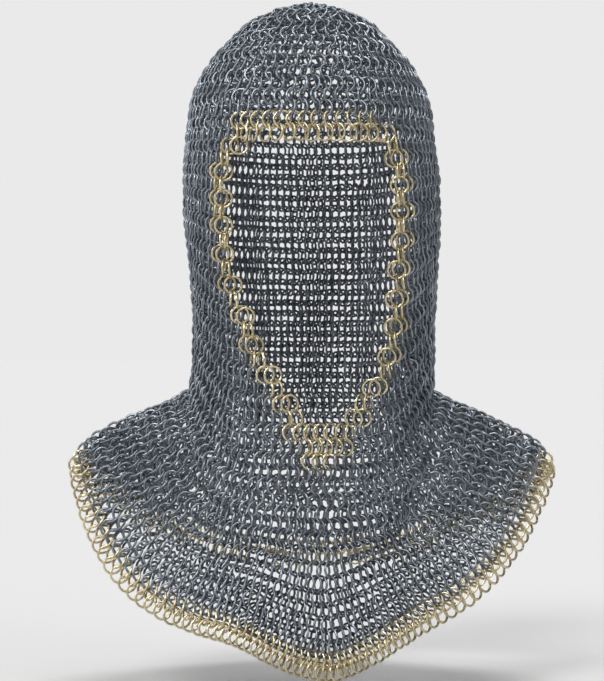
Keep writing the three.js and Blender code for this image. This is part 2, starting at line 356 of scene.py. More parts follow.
    def directions(self, angle: np.ndarray, row: np.ndarray) -> tuple[np.ndarray, np.ndarray]:
        """The directions along a row and down a column.

        Args:
            angle: Angles in radians.
            row: Rows, as many as the angles.

        Returns:
            How far one radian goes along the row, and one row down the column, for each.
        """
        nearby = 0.01
        row = np.maximum(row, self.first_measured)
        along = self.middle(angle + nearby, row) - self.middle(angle - nearby, row)
        down = self.middle(angle, row + nearby) - self.middle(angle, row - nearby)
        return along / (2 * nearby), down / (2 * nearby)

    def angle_of(self, x: float, row: float) -> float:
        """The angle of a place on the front, from its X."""
        reach = (x - self.profile.read("shiftX", row)) / self.profile.read("halfWidth", row)
        return float(np.arcsin(np.clip(reach, -1, 1)))


@dataclass(frozen=True)
class RingSize:
    """One ring, in millimetres."""

    wire: float = 1.7
    hole: float = 9.8
    facets: int = 14
    wire_sides: int = 5

    @property
    def mean_radius(self) -> float:
        """The radius of the wire's middle line."""
        return (self.hole + self.wire) / 2


@dataclass
class Row:
    """One row of rings."""

    angles: np.ndarray
    # The two rings above that each hangs from, and the full turn to add to one past the back
    parents: np.ndarray | None = None
    turns: np.ndarray | None = None
    # The rings at the face's edge, or -1 where the row has none
    left: int = -1
    right: int = -1


@dataclass
class Weave:
    """The rings of four-in-one mail: each is linked to two in the row above and two below."""

    drape: Drape
    ring: RingSize
    last_row: int = 56
    # The first row that the face cuts, and the first one under it that is whole
    opening_rows: tuple[int, int] = (18, 38)
    # The brass rows at the V's point, with the least and greatest X of their rings
    point_rows: tuple[tuple[int, float, float], ...] = (
        (38, -14, 25),
        (39, -8.5, 21.5),
        (40, -2.5, 16.5),
    )
    # The brass rows over the brow, likewise
    brow_rows: tuple[tuple[int, float, float], ...] = ((16, -48, 44), (17, -51, 54))
    # Row, then the distance between neighbouring rings of a row at each of these angles
    pitch_angles: tuple[float, ...] = (0, 22, 34, 44, 60, 90, 130, 180)
    pitches: tuple[tuple[float, ...], ...] = (
        (0, 8, 8, 8, 8, 8, 8, 8, 8),
        (8, 7.6, 7.6, 7.6, 7.6, 7.4, 6.8, 6.4, 6.4),
        (15, 7.8, 7.8, 7.8, 7.6, 7.2, 6.4, 5.8, 5.8),
        (17, 7.8, 7.7, 7.5, 7.2, 6.8, 6.2, 5.6, 5.6),
        (20, 7.8, 6.8, 5.6, 5, 5.6, 6, 5.5, 5.4),
        (29, 7.8, 6.8, 5.6, 5.1, 5.6, 6, 5.5, 5.4),
        (35, 7, 6.8, 6.6, 6.2, 6, 6, 5.5, 5.4),
        (41, 7, 7, 6.8, 6.6, 6.4, 6.2, 5.6, 5.5),
        (45, 5.6, 5.8, 6, 6.4, 6.8, 6.8, 6, 5.8),
        (50, 4.4, 4.6, 6, 7.2, 7.8, 8, 6.8, 6.4),
        (54, 4.3, 4.5, 7, 8.6, 9.2, 9.2, 7.4, 6.8),
        (56, 4.6, 4.8, 8, 9.6, 10, 10, 8, 7.2),
    )
    # Row, then the X of the innermost ring on each side of the face
    edge_rings: Curves = field(default_factory=lambda: Curves(
        ("row", "left", "right"),
        (
            (18, -46, 50),
            (18.8, -53, 54.5),
            (20, -57, 56.5),
            (22, -58, 57),
            (25.4, -56, 57),
            (27.7, -51, 56),
            (29.6, -45.5, 54.5),
            (31.6, -38, 52),
            (33.5, -28.5, 47),
            (34.8, -21.5, 41),
            (35.8, -16.5, 34),
            (37, -11, 26),
            (38, -7, 20),
        ),
    ))
    # How far a ring at the edge may be from there, as a share of the distance between rings
    edge_play: float = 0.25
    # Rounds in which a new row settles, and in which the whole mail is then evened out
    settling: int = 12
    relaxing: int = 90
    # How much a gap and its neighbours count where the loosest place for a ring is sought
    gap_weights: tuple[float, ...] = (1, 2, 3, 4, 3, 2, 1)
    # How many angles each row is measured at
    samples: int = 720
    scan: np.ndarray = field(init=False)
    counts: list[np.ndarray] = field(init=False)
    rows: list[Row] = field(init=False)

    def __post_init__(self) -> None:
        """Measures the rows, then weaves from the crown down."""
        self.scan = np.linspace(-math.pi, math.pi, self.samples + 1)
        self.counts = [self._count_along(row) for row in range(self.last_row + 1)]
        self.rows = [Row(np.zeros(1))]
        self._weave()
        self._relax(self.relaxing)
        self._pin_edges()
        self._relax(self.relaxing // 2)

    def _pitch(self, angle: np.ndarray, row: float) -> np.ndarray:
        """The distance wanted between neighbouring rings of a row.

        Args:
            angle: Angles in radians.
            row: The row.

        Returns:
            One distance in millimetres for each angle.
        """
        table = np.array(self.pitches)
        here = [np.interp(row, table[:, 0], column) for column in table[:, 1:].T]
        return np.interp(np.degrees(np.abs(angle)), self.pitch_angles, here)

    def _count_along(self, row: float) -> np.ndarray:
        """How many rings fit in a row, from the back round to each scanned angle.

        Args:
            row: The row.

        Returns:
            One count, with fractions, for each scanned angle.
        """
        middles = (self.scan[1:] + self.scan[:-1]) / 2
        along, _ = self.drape.directions(middles, np.full(self.samples, float(row)))
        steps = np.linalg.norm(along, axis=1) * np.diff(self.scan) / self._pitch(middles, row)
        return np.concatenate([[0], np.cumsum(steps)])

    def _counted(self, row: int, angles: np.ndarray) -> np.ndarray:
        """The count reached at angles that may go on past a full turn.

        Args:
            row: The row.
            angles: Angles in radians.

        Returns:
            One count for each.
        """
        turns = np.floor((angles + math.pi) / FULL_TURN)
        rest = np.interp(angles - turns * FULL_TURN, self.scan, self.counts[row])
        return rest + turns * self.counts[row][-1]

    def _placed(self, row: int, counts: np.ndarray) -> np.ndarray:
        """The angles where counts are reached.

        Args:
            row: The row.
            counts: Counts that may be past the row's whole count.

        Returns:
            One angle in radians for each.
        """
        turns = np.floor(counts / self.counts[row][-1])
        rest = np.interp(counts - turns * self.counts[row][-1], self.counts[row], self.scan)
        return rest + turns * FULL_TURN

    def _spread(self, row: int, angles: np.ndarray) -> np.ndarray:
        """Where each ring would be if it were evenly between its neighbours in the row.

        Args:
            row: The row.
            angles: The rings' angles in radians.

        Returns:
            One angle for each ring.
        """
        counts = self._counted(row, angles)
        total = self.counts[row][-1]
        before = np.concatenate([[counts[-1] - total], counts[:-1]])
        after = np.concatenate([counts[1:], [counts[0] + total]])
        return self._placed(row, (before + after) / 2)

    def _weave(self) -> None:
        """Hangs each row on the one above, with extra rings where the mail widens."""
        first = round(self.counts[1][-1])
        angles = (np.arange(first) + 0.5) / first * FULL_TURN - math.pi
        self.rows.append(Row(angles, np.zeros((first, 2), int), np.zeros((first, 2))))
        for number in range(2, self.last_row + 1):
            above = self.rows[-1]
            extra: list[int] = []
            wanted = max(round(self.counts[number][-1]) - len(above.angles), 0)
            row = self._hang(above, number, extra)
            for _ in range(wanted):
                extra.append(self._loosest(row, number, extra))
                row = self._hang(above, number, extra)
            self.rows.append(row)

    def _hang(self, above: Row, number: int, extra: list[int]) -> Row:
        """A new row linked between the rings above, with a second one under each extra place.

        Args:
            above: The row above.
            number: The new row's number.
            extra: The rings above that carry one more ring.

        Returns:
            The new row.
        """
        count = len(above.angles)
        forward = number % 2 == 0
        links: list[tuple[int, int, float, float]] = []
        for i in range(count):
            pair = (i, i + 1) if forward else (i - 1, i)
            between = (
                pair[0] % count,
                pair[1] % count,
                FULL_TURN * (pair[0] // count),
                FULL_TURN * (pair[1] // count),
            )
            both = [(i, i, 0.0, 0.0)] * extra.count(i)
            links += [*both, between] if forward else [between, *both]
        table = np.array(links)
        parents, turns = table[:, :2].astype(int), table[:, 2:]
        hung = (above.angles[parents] + turns).mean(axis=1)
        angles = hung
        for _ in range(self.settling):
            angles = (hung + self._spread(number, angles)) / 2
        return Row(angles, parents, turns)

    def _loosest(self, row: Row, number: int, taken: list[int]) -> int:
        """Finds where a new row is stretched most.

        Args:
            row: The new row.
            number: Its number.
            taken: The rings above that carry one more ring already.

        Returns:
            The ring above that place.
        """
        counts = self._counted(number, row.angles)
        total = self.counts[number][-1]
        gaps = np.diff(np.concatenate([counts, [counts[0] + total]]))
        window = np.array(self.gap_weights) / sum(self.gap_weights)
        half = len(window) // 2
        padded = np.concatenate([gaps[-half:], gaps, gaps[:half]])
        if len(gaps) > len(window):
            gaps = np.convolve(padded, window, mode="valid")
        for place in np.argsort(-gaps):
            parent = int(row.parents[(place + 1) % len(row.parents), 0])
            if parent not in taken:
                return parent
        return 0

    def _relax(self, rounds: int) -> None:
        """Evens out the rings against their neighbours and the rings they are linked to.

        Args:
            rounds: How many times over.
        """
        for _ in range(rounds):
            sums = [np.zeros(len(row.angles)) for row in self.rows]
            links = [np.zeros(len(row.angles)) for row in self.rows]
            for number in range(2, self.last_row + 1):
                row, above = self.rows[number], self.rows[number - 1]
                for side in (0, 1):
                    parent, turn = row.parents[:, side], row.turns[:, side]
                    sums[number] += above.angles[parent] + turn
                    links[number] += 1
                    np.add.at(sums[number - 1], parent, row.angles - turn)
                    np.add.at(links[number - 1], parent, 1)
            for number in range(1, self.last_row + 1):
                row = self.rows[number]
                linked = np.where(
                    links[number] > 0, sums[number] / np.maximum(links[number], 1), row.angles
                )
                even = self._spread(number, row.angles)
                moved = (linked + even) / 2
                for place in {row.left, row.right} - {-1}:
                    moved[place] = row.angles[place]
                row.angles = moved

    def _pin_edges(self) -> None:
        """Holds the innermost ring on each side of the face where the edge is."""
        for number in range(self.opening_rows[0], self.opening_rows[1] + 1):
            row = self.rows[number]
            play = np.diff(row.angles).mean() * self.edge_play
            picks = []
            for name in ("left", "right"):
                wanted = self.drape.angle_of(float(self.edge_rings.read(name, number)), number)
                place = int(np.argmin(np.abs(row.angles - wanted)))
                row.angles[place] = wanted + np.clip(row.angles[place] - wanted, -play, play)
                picks.append(place)
            row.left, row.right = picks

    def rings(self) -> "Rings":
        """Every ring of the coif, with the ones that would be inside the face opening left out.

        Returns:
            The rings with their angles, rows, metals and distances to their neighbours.
        """
        angles, rows, kept, brass, pitches = [], [], [], [], []
        for number, row in enumerate(self.rows):
            count = len(row.angles)
            place = np.arange(count)
            cut = row.left >= 0 and number < self.opening_rows[1]
            inside = (place > row.left) & (place < row.right) if cut else place < 0
            angles.append(row.angles)
            rows.append(np.full(count, float(number)))
            kept.append(~inside)
            brass.append(self._is_brass(number, row, place))
            pitches.append(self._actual_pitch(number, row))
        keep = np.concatenate(kept)
        angle, row_of, metal, pitch = (
            np.concatenate(lists)[keep] for lists in (angles, rows, brass, pitches)
        )
        return Rings(angle, row_of, metal, pitch, self.drape)

    def _actual_pitch(self, number: int, row: Row) -> np.ndarray:
        """How far apart the rings of a row came out.

        Args:
            number: The row's number.
            row: The row.

        Returns:
            Each ring's mean distance to its two neighbours, in millimetres.
        """
        count = len(row.angles)
        if count == 1:
            return np.full(count, 2 * self.ring.mean_radius)
        before = np.concatenate([[row.angles[-1] - FULL_TURN], row.angles[:-1]])
        after = np.concatenate([row.angles[1:], [row.angles[0] + FULL_TURN]])
        along, _ = self.drape.directions(row.angles, np.full(count, float(number)))
        return np.linalg.norm(along, axis=1) * (after - before) / 2

    def _is_brass(self, number: int, row: Row, place: np.ndarray) -> np.ndarray:
        """Tells the brass rings of a row.

        Args:
            number: The row's number.
            row: The row.
            place: Its rings' places in it.

        Returns:
            True for each ring that is brass.
        """
        if number >= HEM_START:
            return np.full(len(place), True)
        x = self.drape.middle(row.angles, np.full(len(place), float(number)))[:, 0]
        front = np.cos(row.angles) > 0
        for point_row, least, most in self.point_rows:
            if number == point_row:
                return front & (x > least) & (x < most)
        if row.left >= 0:
            left = (place == row.left) | (place == row.left - 1)
            right = (place == row.right) | (place == row.right + 1)
            return left | right
        for brow_row, least, most in self.brow_rows:
            if number == brow_row:
                return front & (x > least) & (x < most)
        return np.full(len(place), False)


@dataclass
class Rings:
    """A set of rings."""

    angle: np.ndarray
    row: np.ndarray
    brass: np.ndarray
    pitch: np.ndarray
    drape: Drape
    # The turn of a ring out of the mail, in degrees, against the distance to its neighbour
    turn_pitches: tuple[float, ...] = (4, 5, 6, 7, 8, 9.6, 12)
    turns: tuple[float, ...] = (52, 46, 39, 34, 30, 23, 16)
    # How far the last row's rings, which hang loose, swing round at the sides to face the front
    loose_swing: float = 20
    # How far a ring leans with its column where the columns run askew to the rows
    column_share: float = 0.5
    # The distances between rows where rings start to tip and where they are fully tipped
    crowded: tuple[float, float] = (7, 5.8)
    # How far the top of such a ring tips in, in degrees
    shingle: float = 8

    def pick(self, chosen: np.ndarray) -> "Rings":
        """The rings for which chosen is true."""
        columns = (self.angle, self.row, self.brass, self.pitch)
        return Rings(*(column[chosen] for column in columns), self.drape)

    def centres(self) -> np.ndarray:
        """The rings' centres, in metres."""
        return self.drape.middle(self.angle, self.row) * MM

    def axes(self) -> tuple[np.ndarray, np.ndarray]:
        """Each ring's own axis, and its direction up the mail.

        Returns:
            Two sets of unit vectors.
        """
        along, down = self.drape.directions(self.angle, self.row)
        spacing = np.linalg.norm(down, axis=1)
        outward = unit(np.cross(down, along))
        across, up = self._leaned(outward, unit(along), down)
        swing = np.where(self.row >= self.drape.hem_row, self.loose_swing, 0) * np.sin(self.angle)
        turn = np.radians(np.interp(self.pitch, self.turn_pitches, self.turns) - swing)
        turn = np.where(self.row % 2 == 0, -turn, turn)[:, None]
        side = across * np.cos(turn) + outward * np.sin(turn)
        lean = np.radians(self.shingle) * smoothstep(-spacing, -self.crowded[0], -self.crowded[1])
        lean = lean[:, None]
        tall = up * np.cos(lean) - outward * np.sin(lean)
        return unit(np.cross(side, tall)), tall

    def _leaned(
        self, outward: np.ndarray, across: np.ndarray, down: np.ndarray
    ) -> tuple[np.ndarray, np.ndarray]:
        """Turns the rings part of the way to their columns.

        Args:
            outward: The directions out of the mail.
            across: The directions along the rows.
            down: The directions down the columns.

        Returns:
            The directions across and up the mail, one long, after the turn.
        """
        up = np.cross(outward, across)
        askew = np.arctan2(-(down * across).sum(axis=1), -(down * up).sum(axis=1))
        lean = (self.column_share * askew)[:, None]
        return (
            across * np.cos(lean) - up * np.sin(lean),
            up * np.cos(lean) + across * np.sin(lean),
        )


class NodeTree:
    """A helper that builds a node tree."""

    def __init__(self, tree: bpy.types.NodeTree) -> None:
        """Empties the tree."""
        self.tree = tree
        tree.nodes.clear()

    def declare(self, way: str, kind: str, *names: str) -> None:
        """Gives a group sockets of one kind.

        Args:
            way: INPUT or OUTPUT.
            kind: The sockets' type.
            *names: Their names.
        """
        for name in names:
            self.tree.interface.new_socket(name, in_out=way, socket_type=kind)

    def add(self, kind: str, settings: dict | None = None, **inputs: object) -> bpy.types.Node:
        """Adds a node.

        Args:
            kind: The node's type.
            settings: The node's own properties.
            **inputs: Values or sockets for its inputs, named with _ for a space.

        Returns:
            The node.
        """
        node = self.tree.nodes.new(kind)
        for name, value in (settings or {}).items():
            setattr(node, name, value)
        for name, value in inputs.items():
            self.feed(node.inputs[name.replace("_", " ")], value)
        return node

    def combine(
        self, kind: str, operation: str, first: object, second: object
    ) -> bpy.types.NodeSocket:
        """Adds a node that works one value out of two.

        Args:
            kind: The node's type.
            operation: What it does.
            first: Its first value or socket.
            second: Its second one.

        Returns:
            The socket with the result.
        """
        node = self.add(kind, {"operation": operation})
        self.feed(node.inputs[0], first)
        self.feed(node.inputs[1], second)
        return node.outputs[0]

    def feed(self, socket: bpy.types.NodeSocket, value: object) -> None:
        """Sets a socket, or links another socket to it.

        Args:
            socket: The input.
            value: The value or the other socket.
        """
        if isinstance(value, bpy.types.NodeSocket):
            self.tree.links.new(value, socket)
        else:
            socket.default_value = value


@dataclass
class RingTree:
    """The Geometry Nodes tree that turns points into rings."""

    size: RingSize
    seed: int = 7
    # The most that a ring is turned at random about each axis, in degrees, and moved, in mm
    unevenness: float = 6
    shift: float = 0.35

    def values(self) -> dict[str, float | int]:
        """The tree's named inputs, in metres and radians.

        Returns:
            Each input's value.
        """
        return {
            "Mean Radius": self.size.mean_radius * MM,
            "Wire Radius": self.size.wire / 2 * MM,
            "Facets": self.size.facets,
            "Wire Sides": self.size.wire_sides,
            "Unevenness": math.radians(self.unevenness),
            "Shift": self.shift * MM,
            "Seed": self.seed,
        }

    def build(self, metal: bpy.types.Material) -> bpy.types.NodeTree:
        """Makes the tree for rings of one metal.

        Args:
            metal: The rings' material.

        Returns:
            The tree.
        """
        tree = bpy.data.node_groups.new(f"rings_{metal.name}", "GeometryNodeTree")
        kit = NodeTree(tree)
        kit.declare("INPUT", "NodeSocketGeometry", "Geometry")
        for name, value in self.values().items():
            kind = "NodeSocketInt" if isinstance(value, int) else "NodeSocketFloat"
            kit.declare("INPUT", kind, name)
        kit.declare("OUTPUT", "NodeSocketGeometry", "Geometry")
        given = kit.add("NodeGroupInput").outputs

        hoop = kit.add(
            "GeometryNodeCurvePrimitiveCircle",
            Resolution=given["Facets"], Radius=given["Mean Radius"],
        )
        wire = kit.add(
            "GeometryNodeCurvePrimitiveCircle",
            Resolution=given["Wire Sides"], Radius=given["Wire Radius"],
        )
        ring = kit.add(
            "GeometryNodeCurveToMesh",
            Curve=hoop.outputs["Curve"], Profile_Curve=wire.outputs["Curve"],
        )
        smooth = kit.add("GeometryNodeSetShadeSmooth", Geometry=ring.outputs["Mesh"])

        facing = kit.add(
            "FunctionNodeAxesToRotation",
            {"primary_axis": "Z", "secondary_axis": "Y"},
            Primary_Axis=self._attribute(kit, RING_AXIS),
            Secondary_Axis=self._attribute(kit, RING_UP),
        )
        wobble = self._random(kit, given["Unevenness"], given["Seed"])
        loose = kit.add("FunctionNodeEulerToRotation", Euler=wobble)
        turned = kit.add(
            "FunctionNodeRotateRotation", {"rotation_space": "LOCAL"},
            Rotation=facing.outputs["Rotation"], Rotate_By=loose.outputs["Rotation"],
        )
        next_seed = kit.combine("FunctionNodeIntegerMath", "ADD", given["Seed"], 1)
        slack = self._random(kit, given["Shift"], next_seed)
        moved = kit.add("GeometryNodeSetPosition", Geometry=given["Geometry"], Offset=slack)
        placed = kit.add(
            "GeometryNodeInstanceOnPoints",
            Points=moved.outputs["Geometry"], Instance=smooth.outputs["Geometry"],
            Rotation=turned.outputs["Rotation"],
        )
        real = kit.add("GeometryNodeRealizeInstances", Geometry=placed.outputs["Instances"])
        dressed = kit.add(
            "GeometryNodeSetMaterial", Geometry=real.outputs["Geometry"], Material=metal
        )
        kit.add("NodeGroupOutput", Geometry=dressed.outputs["Geometry"])
        return tree

    def _attribute(self, kit: NodeTree, name: str) -> bpy.types.NodeSocket:
        """Adds a node that reads a vector which the points carry.

        Args:
            kit: The tree.
            name: The vector's name.

        Returns:
            The socket with the vector.
        """
        node = kit.add(
            "GeometryNodeInputNamedAttribute", {"data_type": "FLOAT_VECTOR"}, Name=name
        )
        return node.outputs["Attribute"]

    def _random(
        self, kit: NodeTree, most: bpy.types.NodeSocket, seed: bpy.types.NodeSocket
    ) -> bpy.types.NodeSocket:
        """Adds a random vector for each point.

        Args:
            kit: The tree.
            most: The most that the vector reaches each way.
            seed: The seed.

        Returns:
            The socket with the vector.
        """
        least = kit.combine("ShaderNodeMath", "MULTIPLY", most, -1)
        node = kit.add(
            "FunctionNodeRandomValue", {"data_type": "FLOAT_VECTOR"}, Seed=seed,
            Min=least, Max=most,
        )
        return node.outputs["Value"]


@dataclass(frozen=True)
class Tarnish:
    """The shared group that tells how tarnished each place and each ring is."""

    patch_detail: float = 3
    speck_detail: float = 4
    speck_roughness: float = 0.65
    # The heights of the noise where a speck starts and where it is full
    speck_start: float = 0.52
    speck_full: float = 0.68

    def fill(self, kit: NodeTree) -> None:
        """Adds the group's sockets and nodes.

        Args:
            kit: The empty group.
        """
        kit.declare("INPUT", "NodeSocketFloat", "Patch Scale", "Speck Scale", "Ring Share")
        kit.declare("OUTPUT", "NodeSocketFloat", "Tarnish", "Specks")
        given = kit.add("NodeGroupInput").outputs
        place = kit.add("ShaderNodeTexCoord").outputs["Object"]
        patches = kit.add(
            "ShaderNodeTexNoise",
            Vector=place, Scale=given["Patch Scale"], Detail=self.patch_detail,
        )
        specks = kit.add(
            "ShaderNodeTexNoise",
            Vector=place, Scale=given["Speck Scale"], Detail=self.speck_detail,
            Roughness=self.speck_roughness,
        )
        tone = kit.add("ShaderNodeAttribute", {"attribute_name": RING_TONE}).outputs["Fac"]
        mixed = kit.add(
            "ShaderNodeMix", {"data_type": "FLOAT"},
            Factor=given["Ring Share"], A=patches.outputs["Fac"], B=tone,
        )
        spotted = kit.add(
            "ShaderNodeMapRange", Value=specks.outputs["Fac"],
            From_Min=self.speck_start, From_Max=self.speck_full,
        )
        kit.add(
            "NodeGroupOutput", Tarnish=mixed.outputs["Result"], Specks=spotted.outputs["Result"]
        )


@dataclass(frozen=True)
class DrawnWire:
    """The shared group with the fine scratches and dents of handled wire."""

    scratch_detail: float = 2
    scratch_distortion: float = 0.6

    def fill(self, kit: NodeTree) -> None:
        """Adds the group's sockets and nodes.

        Args:
            kit: The empty group.
        """
        kit.declare("INPUT", "NodeSocketFloat", "Scratch Scale", "Dent Scale", "Dent Share")
        kit.declare("OUTPUT", "NodeSocketFloat", "Height")
        given = kit.add("NodeGroupInput").outputs
        place = kit.add("ShaderNodeTexCoord").outputs["Object"]
        fine = kit.add(
            "ShaderNodeTexNoise",
            Vector=place, Scale=given["Scratch Scale"], Detail=self.scratch_detail,
            Distortion=self.scratch_distortion,
        )
        dents = kit.add("ShaderNodeTexVoronoi", Vector=place, Scale=given["Dent Scale"])
        mixed = kit.add(
            "ShaderNodeMix", {"data_type": "FLOAT"},
            Factor=given["Dent Share"], A=fine.outputs["Fac"], B=dents.outputs["Distance"],
        )
        kit.add("NodeGroupOutput", Height=mixed.outputs["Result"])


class Effect(Enum):
    """The shader node groups that both metals share."""

    WIRE = "drawn_wire"
    TARNISH = "tarnish"

    def group(self) -> bpy.types.NodeTree:
        """The effect's node group, built the first time it is asked for.

        Returns:
            The group.
        """
        known = bpy.data.node_groups.get(self.value)
        if known:
            return known
        tree = bpy.data.node_groups.new(self.value, "ShaderNodeTree")
        maker = Tarnish() if self is Effect.TARNISH else DrawnWire()
        maker.fill(NodeTree(tree))
        return tree


@dataclass(frozen=True)
class MetalFinish:
    """The finish of one metal's rings."""

    metal: Metal
    bright: Colour
    dull: Colour
    speck: Colour
    # The roughness of the brightest and of the dullest places
    smooth: float
    rough: float
    speck_share: float
    patch_scale: float = 22
    speck_scale: float = 900
    # How much of the tarnish is the same all over a ring
    ring_share: float = 0.55
    # The tarnish up to which a place is smooth, and from which it is fully rough
    rough_start: float = 0.25
    rough_full: float = 0.75
    scratch_scale: float = 1400
    dent_scale: float = 420
    dent_share: float = 0.4
    bump_height: float = 0.00006

    def material(self) -> bpy.types.Material:
        """Makes the material.

        Returns:
            The material, named after its slot.
        """
        made = bpy.data.materials.new(self.metal.value)
        made.use_nodes = True
        kit = NodeTree(made.node_tree)
        tarnish = kit.add(
            "ShaderNodeGroup", {"node_tree": Effect.TARNISH.group()},
            Patch_Scale=self.patch_scale, Speck_Scale=self.speck_scale, Ring_Share=self.ring_share,
        )
        wire = kit.add(
            "ShaderNodeGroup", {"node_tree": Effect.WIRE.group()},
            Scratch_Scale=self.scratch_scale, Dent_Scale=self.dent_scale,
            Dent_Share=self.dent_share,
        )
        base = kit.add(
            "ShaderNodeMix", {"data_type": "RGBA"},
            Factor=tarnish.outputs["Tarnish"], A=(*self.bright, 1), B=(*self.dull, 1),
        )
        specks = kit.combine(
            "ShaderNodeMath", "MULTIPLY", tarnish.outputs["Specks"], self.speck_share
        )
        colour = kit.add(
            "ShaderNodeMix", {"data_type": "RGBA"},
            Factor=specks, A=base.outputs["Result"], B=(*self.speck, 1),
        )
        rough = kit.add(
            "ShaderNodeMapRange", Value=tarnish.outputs["Tarnish"],
            From_Min=self.rough_start, From_Max=self.rough_full,
            To_Min=self.smooth, To_Max=self.rough,
        )
        raised = kit.add(
            "ShaderNodeBump", Height=wire.outputs["Height"], Strength=1, Distance=self.bump_height
        )
        shader = kit.add(
            "ShaderNodeBsdfPrincipled",
            Base_Color=colour.outputs["Result"], Roughness=rough.outputs["Result"],
            Normal=raised.outputs["Normal"], Metallic=1,
        )
        kit.add("ShaderNodeOutputMaterial", Surface=shader.outputs["BSDF"])
        return made


STEEL_FINISH = MetalFinish(
    metal=Metal.STEEL,
    bright=(0.38, 0.42, 0.47),
    dull=(0.12, 0.135, 0.155),
    speck=(0.04, 0.035, 0.03),
    smooth=0.35,
    rough=0.52,
    speck_share=0.6,
)
BRASS_FINISH = MetalFinish(
    metal=Metal.BRASS,
    bright=(0.92, 0.81, 0.55),
    dull=(0.42, 0.345, 0.19),
    speck=(0.16, 0.12, 0.06),
    smooth=0.28,
    rough=0.45,
    speck_share=0.55,
)


@dataclass(frozen=True)
class Patch:
    """One panel of mail, which stands for one CAD node.

    rows and angles are where it starts and ends, the angles in degrees. An angle past 180 goes
    on round the back. hangs_from names the node that it hangs from, and is not used.
    """

    node: str
    metal: Metal
    rows: tuple[float, float]
    angles: tuple[float, float] = (-180, 180)
    hangs_from: str = ""
    side: Side = Side.BOTH
    # The angle where the left side of the face's edging meets the right one
    point_angle: float = 6

    def holds(self, rings: Rings) -> np.ndarray:
        """Tells the panel's rings.

        Args:
            rings: The rings of the coif.

        Returns:
            True for each ring that is in the panel.
        """
        rows = (rings.row >= self.rows[0]) & (rings.row < self.rows[1])
        start, end = self.angles
        past = (np.degrees(rings.angle) - start) % 360
        metal = rings.brass == (self.metal is Metal.BRASS)
        half = np.sign(np.sin(rings.angle - math.radians(self.point_angle)))
        sided = (half == self.side.value) | (self.side is Side.BOTH)
        return rows & (past < end - start) & metal & sided


@dataclass
class MailShop:
    """What every sub-assembly needs to make its panels of mail."""

    rings: Rings
    tree: RingTree
    groups: dict[Metal, bpy.types.NodeTree]
    seed: int = 11
    # The flat cell that one ring fills when the mail lies at rest, in millimetres
    flat_pitch: float = 7.4
    flat_row: float = 8

    def make(self, patch: Patch, left: np.ndarray) -> bpy.types.Object:
        """Makes a panel.

        Args:
            patch: Which panel.
            left: The rings that no panel has yet. The panel's own are taken off it.

        Returns:
            The finished piece.
        """
        chosen = patch.holds(self.rings) & left
        left &= ~chosen
        rings = self.rings.pick(chosen)
        piece = self._points(patch, rings)
        self._realize(piece, patch)
        self._declare(piece, patch)
        LOG.info("%s: %d rings, %d faces", piece.name, len(rings.row), len(piece.data.polygons))
        return piece

    def _points(self, patch: Patch, rings: Rings) -> bpy.types.Object:
        """Makes loose points at the rings' centres, which carry their directions and tones.

        Args:
            patch: Which panel.
            rings: The panel's rings.

        Returns:
            The points' object.
        """
        mesh = bpy.data.meshes.new(f"points_{patch.node}")
        mesh.from_pydata(rings.centres().tolist(), [], [])
        for name, vectors in zip((RING_AXIS, RING_UP), rings.axes()):
            made = mesh.attributes.new(name, "FLOAT_VECTOR", "POINT")
            made.data.foreach_set("vector", vectors.astype(np.float32).ravel())
        start = sum(map(ord, patch.node)) + self.seed
        tone = np.random.default_rng(start).random(len(rings.row)).astype(np.float32)
        mesh.attributes.new(RING_TONE, "FLOAT", "POINT").data.foreach_set("value", tone)
        points = bpy.data.objects.new(f"mail_{patch.node}", mesh)
        bpy.context.scene.collection.objects.link(points)
        return points

    def _realize(self, piece: bpy.types.Object, patch: Patch) -> None:
        """Runs the tree on the points and keeps its result as a plain mesh.

        Args:
            piece: The points' object.
            patch: Which panel.
        """
        group = self.groups[patch.metal]
        values = self.tree.values()
        modifier = piece.modifiers.new("rings", "NODES")
        modifier.node_group = group
        for item in group.interface.items_tree:
            if item.in_out == "INPUT" and item.name in values:
                modifier[item.identifier] = values[item.name]
        graph = bpy.context.evaluated_depsgraph_get()
        mesh = bpy.data.meshes.new_from_object(piece.evaluated_get(graph))
        piece.modifiers.clear()
        points = piece.data
        piece.data = mesh
        bpy.data.meshes.remove(points)
        mesh.name = piece.name
        for name in (RING_AXIS, RING_UP):
            if name in mesh.attributes:
                mesh.attributes.remove(mesh.attributes[name])

    def _declare(self, piece: bpy.types.Object, patch: Patch) -> None:
        """Hangs a piece on the root body and hides the CAD node that it stands for.

        Args:
            piece: The piece.
            patch: Which panel it is.
        """
        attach(piece, "root")
        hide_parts(patch.node)


class SubAssembly(ABC):
    """A group of panels that are made together."""

    @abstractmethod
    def patches(self) -> tuple[Patch, ...]:
        """The panels, in the order in which they are hung."""

    def build(self, shop: MailShop, left: np.ndarray) -> list[bpy.types.Object]:
        """Makes the panels.

        Args:
            shop: What they are made with.
            left: The rings that no panel has yet. The panels' own are taken off it.

        Returns:
            The finished pieces.
        """
        return [shop.make(patch, left) for patch in self.patches()]


@dataclass
class Crown(SubAssembly):
    """The round top of the hood."""

    top_end: float = 8
    end: float = HOOD_START

    def patches(self) -> tuple[Patch, ...]:
        """Lays out the disc at the top and the band round it.

        Returns:
            The two panels.
        """
        return (
            Patch("crown_top", Metal.STEEL, (0, self.top_end)),
            Patch("crown_band", Metal.STEEL, (self.top_end, self.end), hangs_from="crown_top"),
        )


